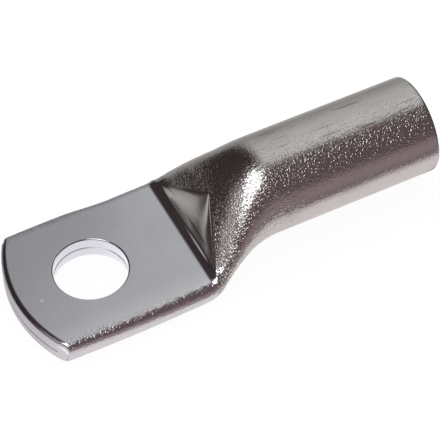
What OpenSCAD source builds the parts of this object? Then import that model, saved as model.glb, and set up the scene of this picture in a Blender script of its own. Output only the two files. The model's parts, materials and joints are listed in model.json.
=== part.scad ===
// Tubular cable lug: one length of soft copper tube. The rear stays round, as the barrel that
// takes the stripped wire. The front is pressed flat into a palm of two plies, sheared to an
// arched end and punched for a bolt, and the tube's wall runs on from one to the other through
// a shouldered transition that opens from flat to round.
// The origin is on the bolt hole's axis, on the palm's underside. +X runs along the barrel to
// its mouth, and +Z up through the bolt hole.

/* [Barrel] */
// Outside diameter of the tube
barrel_d = 14.4; // [12:0.1:17]
// Wall of the round tube
wall = 2.0; // [1:0.1:2.6]
// Length of the round barrel, from the transition to the mouth
barrel_l = 25; // [12:0.5:45]
// Bevel inside the mouth, which leads the wire in
mouth_bevel = 0.35; // [0.1:0.05:0.6]
// Bevel round the outside of the mouth
mouth_break = 0.2; // [0.05:0.05:0.4]

/* [Palm] */
// Width across the two rounded sides
palm_w = 22.7; // [18:0.1:28]
// Thickness of the two plies pressed together
palm_t = 3.6; // [2.8:0.1:4.4]
// From the bolt hole's axis to the crease where the palm ends
hole_to_crease = 13.6; // [10:0.1:20]
// From the bolt hole's axis to the middle of the arched end
hole_to_end = 11.7; // [9:0.1:16]
// Radius of the arched end
end_r = 20.8; // [15:0.1:40]
// Radius that the shear rolls over the arched end's upper edge
end_roll = 0.8; // [0.2:0.1:1.4]
// Width of the seam left between the two plies
seam = 0.08; // [0.05:0.01:0.2]

/* [Bolt hole] */
// Diameter of the bolt hole, with the clearance for an M10 bolt
hole_d = 10.5; // [6.4:0.1:13]
// Radius that the punch rolls over the hole's upper rim
rim_roll = 0.25; // [0.1:0.05:0.5]

/* [Transition] */
// Length of the transition, from the crease to the round barrel
transition_l = 13; // [13:0.5:20]
// Length over which the crease sweeps up into the slope
sweep_l = 2.2; // [1.5:0.1:2.4]
// Length over which the slope rounds off into the top of the barrel
shoulder_l = 10; // [6:0.1:10.5]
// Length over which the flanks, as they close in, round off into the sides of the barrel
flank_l = 6; // [4:0.1:10.5]
// Width of the strip above the crease that stays flat right across
strip_l = 1.1; // [0.5:0.1:2]
// Length from the crease to the point where the facet that the press leaves closes
facet_l = 4.9; // [4:0.1:8]
// Length over which the flat underside closes to a point
belly_l = 8; // [6:0.1:12]
// Depth to which the facet is dished between its two edges
dish = 0.3; // [0.05:0.05:0.5]

/* [Hidden] */

barrel_r = barrel_d / 2;
bore_r = barrel_r - wall;
fold_r = palm_t / 2;
// Half the width over which the palm is flat, between its rounded sides
flat_half = palm_w / 2 - fold_r;
crease_x = hole_to_crease;
shoulder_x = crease_x + transition_l;
mouth_x = shoulder_x + barrel_l;

// The transition's skin stays this much inside the palm and the barrel that it joins
hair = 0.02;
// and it runs this far into each of them
lap = 0.5;
// Cutting tools run this far past the faces that they cut
past = 1;
// Share of the transition at which the cavity between the plies starts to open
cavity_start = 0.12;

// Sine of the angle that the facet cuts off a fold, as a share of the facet's own share of the
// width, and the share of the facet over which its edges sharpen from the crease
edge_cut = 0.6;
edge_start = 0.4;

// Rings along the transition, and the flat faces in a ring's fold, across its flat and in the
// rolled-over edge
rings = 24;
arc_facets = 8;
flat_facets = 8;
roll_facets = 6;
$fn = 96;

// Shape of the transition: 0 at the crease and 1 at the barrel. It gathers speed over the
// sweep, holds it along the slope, and loses it over a last part of the given length.
sweep_share = sweep_l / transition_l;
function opened(t, rounding_l) =
    let (last = min(rounding_l / transition_l, 1 - sweep_share),
        speed = 1 / (1 - sweep_share / 2 - last / 2))
    t <= 0 ? 0 :
    t < sweep_share ? speed * t * t / (2 * sweep_share) :
    t < 1 - last ? speed * (t - sweep_share / 2) :
    t < 1 ? 1 - speed * (1 - t) * (1 - t) / (2 * last) : 1;

// Half height and half width of the tube's section at share t of the transition
function half_height(t) = fold_r + opened(t, shoulder_l) * (barrel_r - fold_r);
function half_width(t) = palm_w / 2 + opened(t, flank_l) * (barrel_r - palm_w / 2);

// How much is left, at share t, of a flat that starts to close at one distance from the crease
// and has closed to a point at another
function flat_left(t, start, end) = max(0, min(1, (end - t * transition_l) / (end - start)));

// The section's halves are each a flat and two folds. A fold is a quarter of an ellipse, of
// which the facet cuts off the part inside the angle whose sine is `cut`, with a crisp edge.
function fold_start(a, w, cut) = (a - w * cut) / (1 - cut);
function fold_point(a, w, h, cut, sine) =
    let (start = fold_start(a, w, cut))
    [start + (w - start) * sine, h * sqrt((1 - sine * sine) / (1 - cut * cut))];

// Points of one ring, at share t, as seen along the barrel: up the fold on one side, across
// the upper flat, down the other side and back across the lower flat. The wall is taken off
// inwards, and the facet sags by the dish.
function ring(x, t, inwards) =
    let (w = half_width(t) - inwards, h = half_height(t) - inwards, mid = half_height(t),
        left = flat_left(t, strip_l, facet_l), top = flat_half * left,
        bottom = flat_half * flat_left(t, 0, belly_l),
        cut = edge_cut * top / w * min(1, (1 - left) / edge_start),
        sag = dish * 4 * left * (1 - left),
        upper = [for (i = [0:arc_facets]) let (q = 90 * i / arc_facets)
            fold_point(top, w, h, cut, cut + (1 - cut) * cos(q))],
        lower = [for (i = [0:arc_facets - 1]) let (q = 90 * i / arc_facets)
            fold_point(bottom, w, h, 0, sin(q))])
    concat(
        [for (p = lower) [x, p[0], mid - p[1]]],
        [for (p = upper) [x, p[0], mid + p[1]]],
        [for (i = [1:flat_facets - 1]) let (s = 1 - 2 * i / flat_facets)
            [x, top * s, mid + h - sag * (1 - s * s)]],
        [for (i = [arc_facets:-1:0]) [x, -upper[i][0], mid + upper[i][1]]],
        [for (i = [arc_facets - 1:-1:0]) [x, -lower[i][0], mid - lower[i][1]]]
    );

// A closed skin through a list of rings: quads between neighbours and a face at each end
module skin(stations) {
    n = len(stations[0]);
    last = len(stations) - 1;
    points = [for (s = stations) for (p = s) p];
    sides = [
        for (k = [0:last - 1]) for (i = [0:n - 1]) for (half = [0:1])
            let (j = (i + 1) % n, a = k * n, b = (k + 1) * n)
            half == 0 ? [a + i, b + j, a + j] : [a + i, b + i, b + j]
    ];
    near_end = [[for (i = [0:n - 1]) i]];
    far_end = [[for (i = [0:n - 1]) last * n + n - 1 - i]];
    polyhedron(points, concat(near_end, sides, far_end));
}

module transition_outside() {
    skin(concat(
        [ring(crease_x - lap, 0, hair)],
        [for (k = [0:rings - 1]) let (t = (k + 0.5) / rings) ring(crease_x + t * transition_l, t, hair)],
        [ring(shoulder_x + lap, 1, hair)]
    ));
}

// The wall thins from the tube's own to one ply of the palm, so the cavity closes to nothing
module transition_inside() {
    skin(concat(
        [for (k = [0:rings - 1]) let (t = cavity_start + (1 - cavity_start) * k / rings)
            ring(crease_x + t * transition_l, t, half_height(t) - opened(t, shoulder_l) * (bore_r - hair))],
        [ring(shoulder_x + lap, 1, wall + hair)]
    ));
}

// Places a shape that was turned about Z so that it lies along the barrel's axis from x
module along_barrel(x) {
    translate([x, 0, barrel_r]) rotate([0, 90, 0]) children();
}

module barrel_outside() {
    along_barrel(shoulder_x) rotate_extrude() polygon([
        [0, 0], [barrel_r, 0], [barrel_r, barrel_l - mouth_break],
        [barrel_r - mouth_break, barrel_l], [0, barrel_l]
    ]);
}

module wire_bore() {
    along_barrel(shoulder_x) rotate_extrude() polygon([
        [0, 0], [bore_r, 0], [bore_r, barrel_l - mouth_bevel],
        [bore_r + mouth_bevel, barrel_l], [bore_r + mouth_bevel, barrel_l + past],
        [0, barrel_l + past]
    ]);
}

// The round blade that shears the palm's end: what it keeps is inside it, and its upper part
// closes in by a quarter round where the metal rolls over
module end_shear() {
    rotate_extrude($fn = 240) polygon(concat(
        [[0, -past], [end_r, -past]],
        [for (i = [0:roll_facets]) let (q = 90 * i / roll_facets)
            [end_r - end_roll * (1 - cos(q)), palm_t - end_roll * (1 - sin(q))]],
        [[end_r - end_roll, palm_t + past], [0, palm_t + past]]
    ));
}

module palm_outside() {
    palm_l = hole_to_end + hole_to_crease;
    intersection() {
        union() {
            translate([-hole_to_end, -flat_half, 0]) cube([palm_l, 2 * flat_half, palm_t]);
            for (side = [-1, 1])
                translate([-hole_to_end, side * flat_half, fold_r]) rotate([0, 90, 0])
                    cylinder(r = fold_r, h = palm_l);
        }
        translate([end_r - hole_to_end, 0, 0]) end_shear();
    }
}

module ply_seam() {
    seam_l = hole_to_end + crease_x + (cavity_start * transition_l + lap);
    translate([-hole_to_end - past, -flat_half, fold_r - seam / 2])
        cube([seam_l + past, 2 * flat_half, seam]);
}

module bolt_punch() {
    hole_r = hole_d / 2;
    rotate_extrude() union() {
        translate([0, -past]) square([hole_r, palm_t + 2 * past]);
        translate([hole_r, palm_t - rim_roll]) difference() {
            square([rim_roll, rim_roll + past]);
            translate([rim_roll, 0]) circle(rim_roll, $fn = 48);
        }
    }
}

module cable_lug() {
    color("silver") difference() {
        union() {
            palm_outside();
            transition_outside();
            barrel_outside();
        }
        wire_bore();
        transition_inside();
        ply_seam();
        bolt_punch();
    }
}

cable_lug();
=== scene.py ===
"""Tin-plated copper cable lug: its formed skin, its plating and the studio round it.

The lug is one piece. Its skin is lofted here as finely as the light on it needs, on the same
sections as the solid that it stands for: an upper flat, a fold down each side in two quarters
of an ellipse, and a lower flat, opening from the flat palm to the round barrel. The skin adds
what one pressing left uneven: a twisted facet, a neck set over to one side, a pinch in one
side of the palm and squarer folds at its end. Shapes are worked out in millimetres and made
in metres.
"""

import json
import math

import bmesh
import bpy
import numpy as np
from mathutils import Matrix, Vector


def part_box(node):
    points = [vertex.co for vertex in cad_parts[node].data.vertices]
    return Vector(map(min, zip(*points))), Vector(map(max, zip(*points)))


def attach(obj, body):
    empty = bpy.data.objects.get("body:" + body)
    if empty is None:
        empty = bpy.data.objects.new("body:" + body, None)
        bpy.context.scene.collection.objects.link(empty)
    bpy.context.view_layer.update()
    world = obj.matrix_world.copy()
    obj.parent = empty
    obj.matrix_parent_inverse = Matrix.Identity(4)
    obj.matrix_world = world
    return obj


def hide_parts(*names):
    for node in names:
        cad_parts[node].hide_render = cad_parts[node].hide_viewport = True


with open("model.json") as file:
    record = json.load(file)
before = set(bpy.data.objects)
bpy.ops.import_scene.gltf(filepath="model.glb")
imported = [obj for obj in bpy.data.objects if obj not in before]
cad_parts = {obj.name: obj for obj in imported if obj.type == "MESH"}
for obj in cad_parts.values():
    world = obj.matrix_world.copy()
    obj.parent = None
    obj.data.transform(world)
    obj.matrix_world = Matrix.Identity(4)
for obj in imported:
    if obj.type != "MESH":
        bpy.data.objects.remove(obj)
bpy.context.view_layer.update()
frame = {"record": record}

# ---------------------------------------------------------------- sizes, in millimetres
MM = 0.001
low, high = (np.array(corner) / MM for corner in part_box("cable_lug"))
mounts = {mount["name"]: mount for mount in frame["record"]["mounts"]}

# The palm with its arched end, the barrel, and their holes
PALM_W = high[1] - low[1]
PALM_T = mounts["palm_top"]["pos_m"][2] / MM
FOLD_R = PALM_T / 2
FLAT_HALF = PALM_W / 2 - FOLD_R
HOLE_R = mounts["bolt_hole"]["dims"]["r_mm"]
END_X = low[0]
END_R = 20.8
BARREL_R = high[2] / 2
BARREL_L = 25.0
BORE_R = mounts["wire_bore"]["dims"]["r_mm"]
MOUTH_X = high[0]

# The neck between the crease and the shoulder. Its opening starts over the sweep. Its height
# levels out over the shoulder and its width over the flank. All three are shares of the neck.
NECK_L = 13.0
SHOULDER_X = MOUTH_X - BARREL_L
CREASE_X = SHOULDER_X - NECK_L
SWEEP = 2.2 / NECK_L
SHOULDER = 10 / NECK_L
FLANK = 6 / NECK_L

# The upper flat beyond the crease is the facet: full width over a strip, then closing to an
# apex. A corner parts its gentle start from its slope, and the slope is dished and twisted.
# Its edges cut into the folds by an angle, whose sine is at most the edge cut and which grows
# over a first share of the closing. The lower flat, the belly, closes further on.
STRIP_X = CREASE_X + 1.1
APEX_X = CREASE_X + 4.9
BELLY_X = CREASE_X + 8
CORNER_X = CREASE_X + 1.45
CORNER_END_X = CORNER_X + 1.5
STRIP_SLOPE = 0.38
FACET_SLOPE = 1.6
EDGE_CUT = 0.6
EDGE_CUT_SHARE = 0.4
DISH = 0.14
TWIST = 0.62

# Marks of one pressing: bowed sides, squarer folds at the end, the neck set over towards +Y,
# and a pinch in the +Y side of the palm
BOW = 0.2
BOW_X = (END_X + CREASE_X) / 2
BOW_SPAN = (CREASE_X - END_X) / 2
SQUARER = 0.9
NECK_SHIFT = 0.3
NECK_X = 17.5
NECK_SPAN = 6.0
PINCH = 0.3
PINCH_X = 6.0
PINCH_SPAN = 7.5

# Edges: the rolled rims of the hole and of the arched end, the flare where the punch broke
# out below, the seam between the plies, and the mouth
RIM_ROLL = 0.25
END_ROLL_TOP = 0.85
END_ROLL_SIDE = 0.3
END_ROLL_BELOW = 0.12
FLARE = 0.12
FLARE_H = 0.75
FLARE_BREAK = 0.1
SEAM = 0.18
SEAM_DEPTH = 0.35
SEAM_BREAK = 0.06
SEAM_FLOOR = 0.02
MOUTH_BREAK = 0.3
MOUTH_BEVEL = 0.35

# A light spot in the plating of the palm
SPOT_X = -8.3
SPOT_Y = -2.0
SPOT_R = 0.3

# ---------------------------------------------------------------- how finely the skin is cut
# Where the grids of the palm meet those of the neck, clear of the bolt hole
JOIN_X = 8.5
# Points across half a flat and down one quarter of a fold
HALF_CUTS = 30
FOLD_CUTS = 30
# Rows from the join to the arched end, and over its rolled edge
SIDE_CUTS = 60
ROLL_CUTS = 8
# Columns of points round a section: the middle of the underside, and all the way round
UNDER = HALF_CUTS * 2 + FOLD_CUTS * 2
ROUND = UNDER * 2
# How far a row stands off an edge, to keep its shading narrow
HOLD = 0.3
# The middle of a quarter round lies this share of its radius in from either side
QUARTER_MIDDLE = 0.3
# Points closer than this, in metres, are welded
WELD = 1e-7


# ---------------------------------------------------------------- the lug's sections
def opened(x, rounding):
    """Share of the way from flat (0) to round (1) at x. Its speed rises evenly over the sweep
    at the crease, holds, and falls evenly over a last part."""
    t = np.clip((x - CREASE_X) / NECK_L, 0, 1)
    speed = 1 / (1 - SWEEP / 2 - rounding / 2)
    rising = speed * t**2 / (2 * SWEEP)
    steady = speed * (t - SWEEP / 2)
    falling = 1 - speed * (1 - t) ** 2 / (2 * rounding)
    return np.where(t < SWEEP, rising, np.where(t < 1 - rounding, steady, falling))


def half_height(x):
    """Half the height of the section at x: from the fold's radius to the barrel's."""
    return FOLD_R + opened(x, SHOULDER) * (BARREL_R - FOLD_R)


def half_width(x):
    """Half the width of the section at x. The palm's sides bow in by a square law towards the
    crease and the end, and from the crease the width eases to the barrel's."""
    palm = PALM_W / 2 - BOW * np.minimum(((x - BOW_X) / BOW_SPAN) ** 2, 1)
    return palm + opened(x, FLANK) * (BARREL_R - palm)


def left_of_flat(x, start, end):
    """How much is left at x of a flat that starts to close at one place and has closed to a
    point at another."""
    return np.clip((end - x) / (end - start), 0, 1)


def squareness(x):
    """Power of the superellipse that the folds follow: 2 from the crease on, rising evenly
    towards the arched end, where the press left the folds squarer."""
    return 2 + SQUARER * np.clip((CREASE_X - x) / (CREASE_X - END_X), 0, 1)


def pressed_in(x, across):
    """How far the facet lies under the top of its section at x, and at a share across it from
    -1 to 1. A gentle slope comes first and meets a steeper one at a corner; this fades out by
    the eighth power towards the facet's edges. To it is added a hollow, a parabola along the
    slope and across it, tilted so that it is deeper towards -Y and a swelling towards +Y."""
    straight = 2 * half_height(x) - PALM_T
    sloped = STRIP_SLOPE * (x - CREASE_X)
    sloped = sloped + (FACET_SLOPE - STRIP_SLOPE) * np.maximum(x - CORNER_X, 0)
    corner = np.clip(straight - sloped, 0, 1) * (x > CREASE_X) * (x < CORNER_END_X)
    along = np.clip((x - STRIP_X) / (APEX_X - STRIP_X), 0, 1)
    hollow = 4 * along * (1 - along) * (1 - across**2) * (DISH - TWIST * across)
    return corner * (1 - across**8) + hollow


def hump(x, middle, span):
    """1 at a middle place, easing to 0 at a span on either side of it: a squared cosine."""
    return np.cos(np.clip((x - middle) / span, -1, 1) * math.pi / 2) ** 2


def section(x, inwards=0.0):
    """y and z of the points round the sections at a column of places x, from the middle of the
    upper flat towards +Y. Half a section is a flat, two folds and a flat. A fold is a quarter
    of an ellipse with its sine and cosine to the power of 2 / squareness, and the facet cuts
    off the part of the upper ones inside an angle. The wall is taken off inwards. Then the
    facet is pressed in, the neck set over and one side pinched."""
    width = half_width(x) - inwards
    height = half_height(x) - inwards
    flat = half_width(x) - FOLD_R - opened(x, FLANK) * (BARREL_R - PALM_W / 2)
    left = left_of_flat(x, STRIP_X, APEX_X)
    top = np.minimum(flat * left, width)
    under = np.minimum(flat * left_of_flat(x, CREASE_X, BELLY_X), width)
    cut = EDGE_CUT * top / np.maximum(width, 1e-6)
    cut = cut * np.minimum((1 - left) / EDGE_CUT_SHARE, 1)
    power = 2 / squareness(x)

    even = np.arange(HALF_CUTS + 1) / HALF_CUTS
    out = (even + np.sin(even * math.pi / 2)) / 2
    turn = np.arange(FOLD_CUTS) / FOLD_CUTS * math.pi / 2
    sine = cut + (1 - cut) * np.sin(turn)
    cosine = np.sqrt(np.maximum(1 - sine**2, 0) / (1 - cut**2))
    start = (top - width * cut) / (1 - cut)
    y = np.concatenate(
        [
            top * out[:-1],
            start + (width - start) * sine**power,
            under + (width - under) * np.cos(turn) ** power,
            under * out[::-1],
        ],
        -1,
    )
    z = np.concatenate(
        [
            height * np.ones_like(out[:-1]),
            height * cosine**power,
            -height * np.sin(turn) ** power,
            -height * np.ones_like(out),
        ],
        -1,
    )
    y = np.concatenate([y, -y[:, -2:0:-1]], -1)
    z = np.concatenate([z, z[:, -2:0:-1]], -1) + half_height(x)

    column = np.arange(ROUND)
    on_top = (column < HALF_CUTS) | (column > ROUND - HALF_CUTS)
    z = z - on_top * pressed_in(x, y / np.maximum(top, 0.01))
    set_over = NECK_SHIFT * hump(x, NECK_X, NECK_SPAN)
    pinch = PINCH * hump(x, PINCH_X, PINCH_SPAN) * np.maximum(y, 0) / half_width(x)
    return y + set_over - pinch, z


# ---------------------------------------------------------------- the tube from the join back
def with_x(x, y, z):
    """Rows of points, each at its own x."""
    return np.stack([np.broadcast_to(x, y.shape), y, z], -1)


def stations():
    """Places along X of the rows from the join to the mouth: closest round the crease and the
    start of the facet."""
    before_crease = CREASE_X - 0.4
    on_facet = CREASE_X + 2.8
    on_barrel = SHOULDER_X + 1
    return np.concatenate(
        [
            np.linspace(JOIN_X, before_crease, 14, endpoint=False),
            np.linspace(before_crease, on_facet, 44, endpoint=False),
            np.linspace(on_facet, on_barrel, 66, endpoint=False),
            np.linspace(on_barrel, MOUTH_X - MOUTH_BREAK, 60),
        ]
    )


def outer_rows():
    """The skin from the join to the mouth, a row of points for each station."""
    x = stations()[:, None]
    return with_x(x, *section(x))


def ring_rows(profile):
    """Rows of circles round the barrel's axis through a profile of (x, radius) pairs, with
    their points in line with those of the barrel's skin."""
    x, radius = (np.array(column)[:, None] for column in zip(*profile))
    y, z = section(np.array([[MOUTH_X]]))
    return with_x(x, radius * y / BARREL_R, BARREL_R + radius * (z / BARREL_R - 1))


def quarter_round(size, cuts):
    """Distances from the two faces of a corner along its quarter round: the first, size times
    1 - sine, falls from the size to 0, and the second, size times 1 - cosine, rises to it."""
    turn = np.linspace(0, math.pi / 2, cuts + 1)
    return list(zip(size * (1 - np.sin(turn)), size * (1 - np.cos(turn))))


def mouth_rows():
    """The mouth: a rounded outer edge, a flat face and a bevel into the bore."""
    edge = [(MOUTH_X - back, BARREL_R - down) for back, down in quarter_round(MOUTH_BREAK, 5)[1:]]
    inner = BORE_R + MOUTH_BEVEL
    face = [(MOUTH_X, inner + (BARREL_R - MOUTH_BREAK - inner) * k) for k in (0.97, 0.5, 0.03)]
    soft_x = 0.03
    soft_r = 0.02
    bevel = [
        (MOUTH_X, inner),
        (MOUTH_X - soft_x, inner - soft_r),
        (MOUTH_X - MOUTH_BEVEL + soft_x, BORE_R + soft_r),
        (MOUTH_X - MOUTH_BEVEL, BORE_R),
    ]
    return ring_rows(edge + face + bevel)


def inner_rows():
    """The bore, and the cavity behind it, which keeps the outer skin's sections less the wall
    and closes to a line at the crease."""
    bore = [(x, BORE_R) for x in np.linspace(MOUTH_X - MOUTH_BEVEL - HOLD, SHOULDER_X, 30)]
    x = np.linspace(SHOULDER_X - HOLD, CREASE_X, 48)[:, None]
    wall = half_height(x) - opened(x, SHOULDER) * BORE_R
    return np.concatenate([ring_rows(bore), with_x(x, *section(x, wall))])


# ---------------------------------------------------------------- the palm
def arched_end(y):
    """x of the palm's arched end at y: a circle round a point on the middle line."""
    return END_X + END_R - np.sqrt(END_R**2 - y**2)


def palm_rows():
    """The palm's sections from the join to the arched end. Their places slide from a straight
    row at the join to the arc of the end, and the last rows roll over into its face by a
    quarter round: far at the top, where the shear dragged the metal, and little below."""
    along = np.linspace(0, 1, SIDE_CUTS + 1)[:, None]
    turn = np.linspace(0, math.pi / 2, ROLL_CUTS + 1)[1:, None]
    blend = np.concatenate([along, np.ones_like(turn)])
    turn = np.concatenate([np.zeros_like(along), turn])
    rough_x = JOIN_X + (END_X - JOIN_X) * blend
    y, z = section(rough_x)
    up = np.clip(z / FOLD_R - 1, -1, 1)
    roll = END_ROLL_SIDE + (END_ROLL_TOP - END_ROLL_SIDE) * np.maximum(up, 0) ** 2
    roll += (END_ROLL_BELOW - END_ROLL_SIDE) * np.maximum(-up, 0) ** 2
    sink = roll * (1 - np.cos(turn)) / FOLD_R
    flat = half_width(rough_x) - FOLD_R
    beyond = y - np.clip(y, -flat, flat)
    end = arched_end(y) + roll * (1 - np.sin(turn))
    x = JOIN_X + (end - JOIN_X) * blend
    return with_x(x, y - beyond * sink, z - (z - FOLD_R) * sink)


def end_face(edge):
    """The sheared face of the arched end: straight columns from each point of its upper edge
    to the one below it, with the seam between the plies as a groove halfway."""
    order = np.arange(HALF_CUTS + FOLD_CUTS + 1)
    upper = edge[np.append(-order[:0:-1], order) % ROUND]
    lower = edge[np.append(UNDER + order[:0:-1], UNDER - order)]
    # Shares of the way down, closest at both edges and at the groove
    down = np.array([0.0, 0.04, 0.2, 0.4, 0.48, 0.493, 0.507, 0.52, 0.6, 0.8, 0.96, 1.0])
    sunk = np.where(np.abs(down - 0.5) < 0.01, SEAM_DEPTH / 2, 0)[:, None]
    fade = 0.5
    reach = np.clip((FLAT_HALF - np.abs(upper[:, 1])) / fade, 0, 1)
    rows = upper + (lower - upper) * down[:, None, None]
    rows[..., 0] = arched_end(rows[..., 1]) + sunk * reach
    return rows


def hole_wall(angles):
    """The punched hole as rings of points at these angles: the rolled-over upper rim, the
    upper ply, the seam, the lower ply and the flare where the punch broke out."""
    rim = [(HOLE_R + out, PALM_T - down) for out, down in quarter_round(RIM_ROLL, 6)]
    above = FOLD_R + SEAM / 2
    under = FOLD_R - SEAM / 2
    seam_middle = SEAM_BREAK * QUARTER_MIDDLE
    flare_middle = FLARE_BREAK * QUARTER_MIDDLE
    wall = [
        (HOLE_R, above + SEAM_BREAK + HOLD),
        (HOLE_R, above + SEAM_BREAK),
        (HOLE_R + seam_middle, above + seam_middle),
        (HOLE_R + SEAM_BREAK, above),
        (HOLE_R + SEAM_DEPTH, FOLD_R + SEAM_FLOOR / 2),
        (HOLE_R + SEAM_DEPTH, FOLD_R - SEAM_FLOOR / 2),
        (HOLE_R + SEAM_BREAK, under),
        (HOLE_R + seam_middle, under - seam_middle),
        (HOLE_R, under - SEAM_BREAK),
        (HOLE_R, under - SEAM_BREAK - HOLD),
        (HOLE_R, FLARE_H),
        (HOLE_R + FLARE / 4, FLARE_H * 0.8),
        (HOLE_R + FLARE, FLARE_BREAK),
        (HOLE_R + FLARE + flare_middle, flare_middle),
        (HOLE_R + FLARE + FLARE_BREAK, 0.0),
    ]
    radius, z = (np.array(column)[:, None] for column in zip(*(rim + wall)))
    x = radius * np.cos(angles)
    return np.stack([x, radius * np.sin(angles), np.broadcast_to(z, x.shape)], -1)


def flat_round_hole(border, circle):
    """A flat sheet between the hole's circle and the border round it, on straight spokes."""
    # Shares of the way out, closest at both ends, next to the rolled edges
    near_hole = [0, 0.012, 0.03, 0.06, 0.1, 0.16, 0.24, 0.34, 0.45]
    near_border = [0.56, 0.67, 0.77, 0.85, 0.91, 0.95, 0.98, 0.992, 1.0]
    reach = np.array(near_hole + near_border)[:, None, None]
    return circle + (border - circle) * reach


def border_of(rows, across):
    """The closed border of one of the palm's flats, whose columns are given: along the first
    row, down one side, back along the last row and up the other side."""
    return np.concatenate(
        [
            rows[0, across],
            rows[1:, across[-1]],
            rows[-1, across[-2::-1]],
            rows[-2:0:-1, across[0]],
        ]
    )


# ---------------------------------------------------------------- the skin as one mesh
def placed(name, data):
    """A new object that holds the data, in the scene."""
    thing = bpy.data.objects.new(name, data)
    bpy.context.scene.collection.objects.link(thing)
    return thing


class Skin:
    """Collects grids of points as quads, and joins them into one closed mesh."""

    def __init__(self):
        self.points = []
        self.quads = []
        self.count = 0

    def grid(self, points, closed=False):
        """Adds rows by columns of points; a closed grid's last column meets its first."""
        rows, columns = points.shape[:2]
        index = np.arange(rows * columns).reshape(rows, columns) + self.count
        if closed:
            index = np.concatenate([index, index[:, :1]], 1)
        corners = (index[:-1, :-1], index[1:, :-1], index[1:, 1:], index[:-1, 1:])
        self.quads.append(np.stack(corners, -1).reshape(-1, 4))
        self.points.append(points.reshape(-1, 3))
        self.count += rows * columns

    def make(self, name):
        """The object: grids welded along their shared edges, faces turned outwards."""
        mesh = bpy.data.meshes.new(name)
        points = np.concatenate(self.points) * MM
        mesh.from_pydata(points.tolist(), [], np.concatenate(self.quads).tolist())
        work = bmesh.new()
        work.from_mesh(mesh)
        bmesh.ops.remove_doubles(work, verts=work.verts, dist=WELD)
        bmesh.ops.dissolve_degenerate(work, dist=WELD / 10, edges=work.edges)
        bmesh.ops.recalc_face_normals(work, faces=work.faces)
        work.to_mesh(mesh)
        work.free()
        mesh.polygons.foreach_set("use_smooth", np.ones(len(mesh.polygons), bool))
        return placed(name, mesh)


def lug_skin():
    """The whole lug as one closed skin: the tube outside and inside, the palm's folds, its end
    and its two flats, and the wall of the bolt hole."""
    skin = Skin()
    skin.grid(np.concatenate([outer_rows(), mouth_rows(), inner_rows()]), closed=True)

    rows = palm_rows()
    fold_end = HALF_CUTS + FOLD_CUTS * 2
    across = np.arange(-HALF_CUTS, HALF_CUTS + 1) % ROUND
    across_under = np.arange(UNDER - HALF_CUTS, UNDER + HALF_CUTS + 1)
    skin.grid(rows[:, HALF_CUTS : fold_end + 1])
    skin.grid(rows[:, ROUND - fold_end : ROUND - HALF_CUTS + 1])
    skin.grid(rows[SIDE_CUTS:, across])
    skin.grid(rows[SIDE_CUTS:, across_under])
    skin.grid(end_face(rows[-1]))

    flats = rows[: SIDE_CUTS + 1]
    top = border_of(flats, across)
    under = border_of(flats, across_under)
    angles = np.arctan2(top[:, 1], top[:, 0])
    wall = hole_wall(angles)
    skin.grid(flat_round_hole(top, wall[0]), closed=True)
    skin.grid(wall, closed=True)
    # The lower border runs the other way, so its points are matched to the hole's by angle
    order = np.argsort(np.arctan2(under[:, 1], under[:, 0]))
    matched = under[order][np.argsort(np.argsort(angles))]
    skin.grid(flat_round_hole(matched, wall[-1]), closed=True)
    return skin.make("lug_skin")


# ---------------------------------------------------------------- shader maths
class Value:
    """A shader socket that can be used in Python expressions."""

    def __init__(self, graph, socket):
        self.graph = graph
        self.socket = socket

    def _maths(self, operation, first, second):
        """The result of an operation on two values or numbers."""
        return self.graph.node("ShaderNodeMath", {"operation": operation}, {0: first, 1: second})

    def __add__(self, other):
        return self._maths("ADD", self, other)

    def __radd__(self, other):
        return self._maths("ADD", other, self)

    def __sub__(self, other):
        return self._maths("SUBTRACT", self, other)

    def __rsub__(self, other):
        return self._maths("SUBTRACT", other, self)

    def __mul__(self, other):
        return self._maths("MULTIPLY", self, other)

    def __rmul__(self, other):
        return self._maths("MULTIPLY", other, self)

    def __abs__(self):
        return self.graph.node("ShaderNodeMath", {"operation": "ABSOLUTE"}, {0: self})

    def ramp(self, start, end):
        """0 at start and 1 at end, eased at both, which may lie in either order."""
        settings = {"interpolation_type": "SMOOTHSTEP"}
        inputs = {"Value": self, "From Min": start, "From Max": end}
        return self.graph.node("ShaderNodeMapRange", settings, inputs)


class Graph:
    """A node tree, and the one method that adds a node to it."""

    def __init__(self, tree):
        self.tree = tree
        tree.nodes.clear()

    def node(self, kind, settings=None, inputs=None, output=0):
        """Adds a node, gives it its settings and then its inputs, and returns an output."""
        new = self.tree.nodes.new(kind)
        for name, setting in (settings or {}).items():
            setattr(new, name, setting)
        for name, given in (inputs or {}).items():
            if isinstance(given, Value):
                self.tree.links.new(given.socket, new.inputs[name])
            else:
                new.inputs[name].default_value = given
        return Value(self, new.outputs[output]) if len(new.outputs) else None

    def noise(self, where, scale, detail, roughness):
        """Soft noise of a scale in cells per metre, mostly between 0.2 and 0.8."""
        inputs = {"Vector": where, "Scale": scale, "Detail": detail, "Roughness": roughness}
        return self.node("ShaderNodeTexNoise", {}, inputs)

    def mixed(self, share, first, second):
        """A colour between two colours. The node's colour sockets are 6 and 7, and 2 out."""
        inputs = {0: share, 6: first, 7: second}
        return self.node("ShaderNodeMix", {"data_type": "RGBA"}, inputs, 2)

    def glow(self, colour):
        """A shader that gives off a colour as it is."""
        return self.node("ShaderNodeEmission", {}, {"Color": colour, "Strength": 1.0})

    def parts(self, vector):
        """The x, y and z of a vector, as three values."""
        split = self.node("ShaderNodeSeparateXYZ", {}, {0: vector}).socket.node
        return [Value(self, socket) for socket in split.outputs]


def material_graph(name):
    """A new material and the graph of its nodes."""
    material = bpy.data.materials.new(name)
    material.use_nodes = True
    return material, Graph(material.node_tree)


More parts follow.
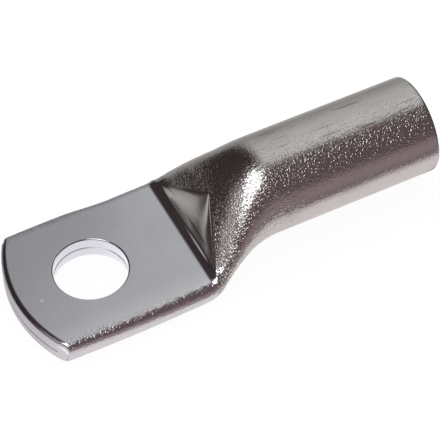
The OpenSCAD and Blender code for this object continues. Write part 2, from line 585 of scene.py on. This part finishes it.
# ---------------------------------------------------------------- the plating
def drawn_share(x, y):
    """0 where the press flattened the tube, and 1 where it kept its drawn surface. The border
    follows the facet's two edges, which run straight from its strip to its apex."""
    facet_edge = APEX_X * MM - abs(y) * ((APEX_X - STRIP_X) / FLAT_HALF)
    return (x - facet_edge).ramp(-0.1 * MM, 0.5 * MM)


def grain_strength(x, y, z, drawn):
    """How strongly the grain stands out: on the drawn surface, most down its -Y side and on
    the ridge beside the facet there, least low on the barrel, and on the palm's folds."""
    worn = y.ramp(-1.5 * MM, -4.5 * MM)
    smooth = x.ramp(26 * MM, 31 * MM) * z.ramp(12 * MM, 10 * MM)
    ridge = y.ramp(-4 * MM, -6 * MM) * x.ramp(21 * MM, 17.5 * MM)
    folds = abs(y).ramp((FLAT_HALF - 0.3) * MM, (FLAT_HALF + 0.5) * MM)
    return drawn * (0.35 + 0.65 * worn * (1 - smooth) + 0.9 * ridge) + 0.64 * folds


def pressed_tint_and_painted_light(graph, x, y, clouds):
    """The tin on the palm and the facet: cool and cloudy, with painted reflection: brighter along
    the -Y side and darker over a wide patch of the rest of the palm. It has one light spot, and
    is plain on the facet, whose tone is painted lighter than the tin's own for the light there."""
    cool = (0.77, 0.79, 0.885, 1)
    cool_dull = (0.73, 0.75, 0.83, 1)
    # Painted reflection: a brighter tone along the -Y side and a darker one over a wide patch
    bright = (0.91, 0.92, 0.99, 1)
    painted_dark_tone = (0.565, 0.575, 0.635, 1)
    white = (1, 1, 1, 1)
    # The facet's tone is painted lighter than the tin's own, for the light it reflects
    facet = (0.95, 0.95, 0.93, 1)

    # Where the painted reflection lies: brighter along -Y, darker over a wide patch of the palm
    painted_bright_side = y.ramp(-6 * MM, -11 * MM)
    painted_dark_patch = (y - 0.35 * x).ramp(-10 * MM, 9 * MM) * x.ramp(16 * MM, 2 * MM)
    from_spot_x = x - SPOT_X * MM
    from_spot_y = y - SPOT_Y * MM
    from_spot = from_spot_x * from_spot_x + from_spot_y * from_spot_y

    tint = graph.mixed(clouds.ramp(0.3, 0.7), cool, cool_dull)
    tint = graph.mixed(painted_bright_side, tint, bright)
    tint = graph.mixed(painted_dark_patch * 0.8, tint, painted_dark_tone)
    tint = graph.mixed(from_spot.ramp((SPOT_R * MM) ** 2, 0.0), tint, white)
    return graph.mixed(x.ramp(14.8 * MM, 15.4 * MM), tint, facet)


def drawn_tint(graph, stretched, x, z, clouds):
    """The tin on the drawn tube: neutral and cloudy, with thin dark streaks along the top of
    the barrel, which are noise over places stretched along X."""
    neutral = (0.80, 0.795, 0.785, 1)
    neutral_dull = (0.76, 0.755, 0.75, 1)
    streaked = (0.42, 0.42, 0.42, 1)
    streaks = graph.noise(stretched, 2300.0, 1.0, 0.5).ramp(0.62, 0.68)
    streaks = streaks * x.ramp(24 * MM, 30 * MM) * z.ramp(12.6 * MM, 13.6 * MM)
    tint = graph.mixed(clouds.ramp(0.3, 0.7), neutral, neutral_dull)
    return graph.mixed(streaks * 0.8, tint, streaked)


def tinned_copper():
    """Bright tin plate: nearly white metal, with an orange-peel grain of small facets where
    the tube kept its drawn surface, and smooth where the press flattened it."""
    material, graph = material_graph("tinned_copper")
    where = graph.node("ShaderNodeTexCoord", output="Object")
    x, y, z = graph.parts(where)
    stretched = graph.node("ShaderNodeCombineXYZ", {}, {0: 0.07 * x, 1: y, 2: z})
    grain = graph.noise(where, 3600.0, 1.0, 0.5).ramp(0.45, 0.80)
    fine = graph.noise(where, 1500.0, 2.0, 0.5)
    clouds = graph.noise(where, 160.0, 3.0, 0.55)

    drawn = drawn_share(x, y)
    # The palm's and the facet's tint holds painted reflection
    pressed = pressed_tint_and_painted_light(graph, x, y, clouds)
    tint = graph.mixed(drawn, pressed, drawn_tint(graph, stretched, x, z, clouds))
    roughness = 0.14 + 0.04 * clouds.ramp(0.35, 0.7) + 0.03 * fine
    height = grain * grain_strength(x, y, z, drawn)
    height = height + fine * (0.08 + 0.10 * drawn) + 0.3 * clouds
    bump = {"Strength": 1.0, "Distance": 0.05 * MM, "Height": height}
    surface = {
        "Base Color": tint,
        "Metallic": 1.0,
        "Roughness": roughness,
        "Normal": graph.node("ShaderNodeBump", {}, bump),
    }
    shader = graph.node("ShaderNodeBsdfPrincipled", {}, surface)
    graph.node("ShaderNodeOutputMaterial", {}, {"Surface": shader})
    return material


# ---------------------------------------------------------------- the studio
def studio_world():
    """White to the camera and to plain surfaces. Gloss sees a dim room by direction, whose x,
    y and z run from -1 to 1: a wide soft panel behind and above, a low glow past the palm and
    a key lamp high up at the front left."""
    dark_room = (0.030, 0.018, 0.017, 1)
    wall = (0.105, 0.068, 0.071, 1)
    low_wall = (0.25, 0.185, 0.19, 1)
    pale_glow = (0.38, 0.35, 0.34, 1)
    lamp_white = (3.0, 3.0, 3.0, 1)
    white = (1, 1, 1, 1)

    world = bpy.data.worlds.new("studio")
    bpy.context.scene.world = world
    world.use_nodes = True
    graph = Graph(world.node_tree)
    x, y, z = graph.parts(graph.node("ShaderNodeTexCoord", output="Generated"))
    front = y.ramp(0.5, -0.05) * x.ramp(0.66, 0.48)
    panel = x.ramp(-0.15, 0.30) * x.ramp(0.62, 0.45) * y.ramp(-0.16, 0.06)
    bright = 0.29 + 0.22 * z.ramp(-0.1, 0.7) + 0.07 * y.ramp(0.60, 0.40)
    cloth = graph.node("ShaderNodeCombineXYZ", {}, {0: bright, 1: bright * 0.98, 2: bright * 0.94})
    toward_glow = 0.51 * z - 0.86 * x
    toward_lamp = 0.875 * z - 0.40 * x - 0.28 * y

    walls = graph.mixed(z.ramp(0.30, -0.02), wall, low_wall)
    room = graph.mixed(front, dark_room, walls)
    room = graph.mixed(panel, room, cloth)
    room = graph.mixed(toward_glow.ramp(0.950, 0.992), room, pale_glow)
    room = graph.mixed(toward_lamp.ramp(0.934, 0.970), room, lamp_white)
    gloss = graph.node("ShaderNodeLightPath", output="Is Glossy Ray")
    seen = graph.mixed(gloss, white, room)
    background = graph.node("ShaderNodeBackground", {}, {"Color": seen, "Strength": 1.0})
    graph.node("ShaderNodeOutputWorld", {}, {"Surface": background})


def painted_floor_light(graph, x, y):
    """The floor as gloss sees it, painted with light and shade: a painted pool of light under the
    bolt hole and along the -Y side of the lug, dimmer further out on both sides, the lug's shadow
    painted as a dark band along its +Y side, and painted shade in a wedge past the mouth."""
    # Painted light and shade on the floor, seen only in gloss: a pool of light round the lug
    front = (0.195, 0.145, 0.15, 1)
    front_far = (0.26, 0.195, 0.20, 1)
    close = (0.70, 0.65, 0.64, 1)
    behind = (0.30, 0.29, 0.28, 1)
    # The lug's painted shadow, and painted shade past the mouth
    painted_shadow_dark = (0.12, 0.11, 0.11, 1)
    painted_shade_dark = (0.05, 0.04, 0.04, 1)
    painted_light_white = (1.15, 1.12, 1.1, 1)

    to_front = y.ramp(-35 * MM, -22 * MM)
    to_close = y.ramp(-19.5 * MM, -12.5 * MM)
    to_behind = y.ramp(-8 * MM, 52 * MM)
    # Where the painted shadow, the painted shade and the painted light under the hole lie
    painted_shadow_band = y.ramp(12 * MM, 13.5 * MM) * y.ramp(20.5 * MM, 16.5 * MM)
    painted_shade_wedge = (x - abs(y)).ramp(45 * MM, 51 * MM)
    painted_light_under_hole = (x * x).ramp((10 * MM) ** 2, (7 * MM) ** 2) * (y * y).ramp((8 * MM) ** 2, (5 * MM) ** 2)

    colour = graph.mixed(to_front, front_far, front)
    colour = graph.mixed(to_close, colour, close)
    colour = graph.mixed(to_behind, colour, behind)
    colour = graph.mixed(painted_shadow_band, colour, painted_shadow_dark)
    colour = graph.mixed(painted_shade_wedge, colour, painted_shade_dark)
    return graph.mixed(painted_light_under_hole, colour, painted_light_white)


def floor_sheet():
    """A white floor that keeps the lug's soft shadow. To the camera it is mostly plain white, and
    gloss sees light and shade painted on it."""
    half = 2.0
    mesh = bpy.data.meshes.new("floor")
    corners = [(-half, -half, 0), (half, -half, 0), (half, half, 0), (-half, half, 0)]
    mesh.from_pydata(corners, [], [(0, 1, 2, 3)])
    floor = placed("floor", mesh)

    material, graph = material_graph("floor_white")
    x, y, _ = graph.parts(graph.node("ShaderNodeTexCoord", output="Object"))
    camera = graph.node("ShaderNodeLightPath", output="Is Camera Ray")
    gloss = graph.node("ShaderNodeLightPath", output="Is Glossy Ray")
    paper = graph.node("ShaderNodeBsdfDiffuse", {}, {"Color": (0.9, 0.9, 0.9, 1)})
    white = graph.glow((1, 1, 1, 1))
    plain = graph.node("ShaderNodeMixShader", {}, {0: camera * 0.95, 1: paper, 2: white})
    # For gloss the floor glows with its painted light and shade
    glossy_painted_light = graph.glow(painted_floor_light(graph, x, y))
    shown = graph.node("ShaderNodeMixShader", {}, {0: gloss, 1: plain, 2: glossy_painted_light})
    graph.node("ShaderNodeOutputMaterial", {}, {"Surface": shown})
    mesh.materials.append(material)


def soft_lamp():
    """A wide lamp overhead, which casts the soft shadow and doesn't show in the plating."""
    data = bpy.data.lights.new("overhead", "AREA")
    data.shape = "DISK"
    data.size = 0.5
    data.energy = 1.2
    lamp = placed("overhead", data)
    place = Vector((0.1, 0.12, 0.6))
    aim = Vector((0.02, 0, 0)) - place
    lamp.matrix_world = Matrix.Translation(place) @ aim.to_track_quat("-Z", "Y").to_matrix().to_4x4()
    lamp.visible_glossy = False


def main_camera():
    """The camera. It stands off a target by a distance, at an azimuth and an elevation, turns
    by a roll about that line, and is then aimed slightly to the right of the target and below
    it."""
    azimuth, elevation, roll = (math.radians(angle) for angle in (-26.54, 50.22, -0.72))
    distance = 0.3145
    target = Vector((0.020, 0, 0.005))
    aim_right = 0.16 * MM
    aim_down = 1.25 * MM

    sideways = math.cos(elevation)
    away = Vector(
        (math.sin(azimuth) * sideways, -math.cos(azimuth) * sideways, math.sin(elevation))
    )
    place = target + away * distance
    right = (-away).cross(Vector((0, 0, 1))).normalized()
    up = right.cross(-away)
    right, up = (
        right * math.cos(roll) + up * math.sin(roll),
        up * math.cos(roll) - right * math.sin(roll),
    )
    aim = target + right * aim_right - up * aim_down
    back = (place - aim).normalized()
    side = up.cross(back).normalized()
    turn = Matrix((side, back.cross(side), back)).transposed()

    data = bpy.data.cameras.new("camera")
    data.sensor_width = 36
    data.lens = 182.8
    data.clip_start = 0.01
    camera = placed("camera", data)
    camera.matrix_world = Matrix.Translation(place) @ turn.to_4x4()
    bpy.context.scene.camera = camera


# ---------------------------------------------------------------- the scene
main_camera()
lug = lug_skin()
lug.data.materials.append(tinned_copper())
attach(lug, "root")
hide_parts("cable_lug")
studio_world()
floor_sheet()
soft_lamp()
bpy.context.scene.view_settings.view_transform = "Standard"
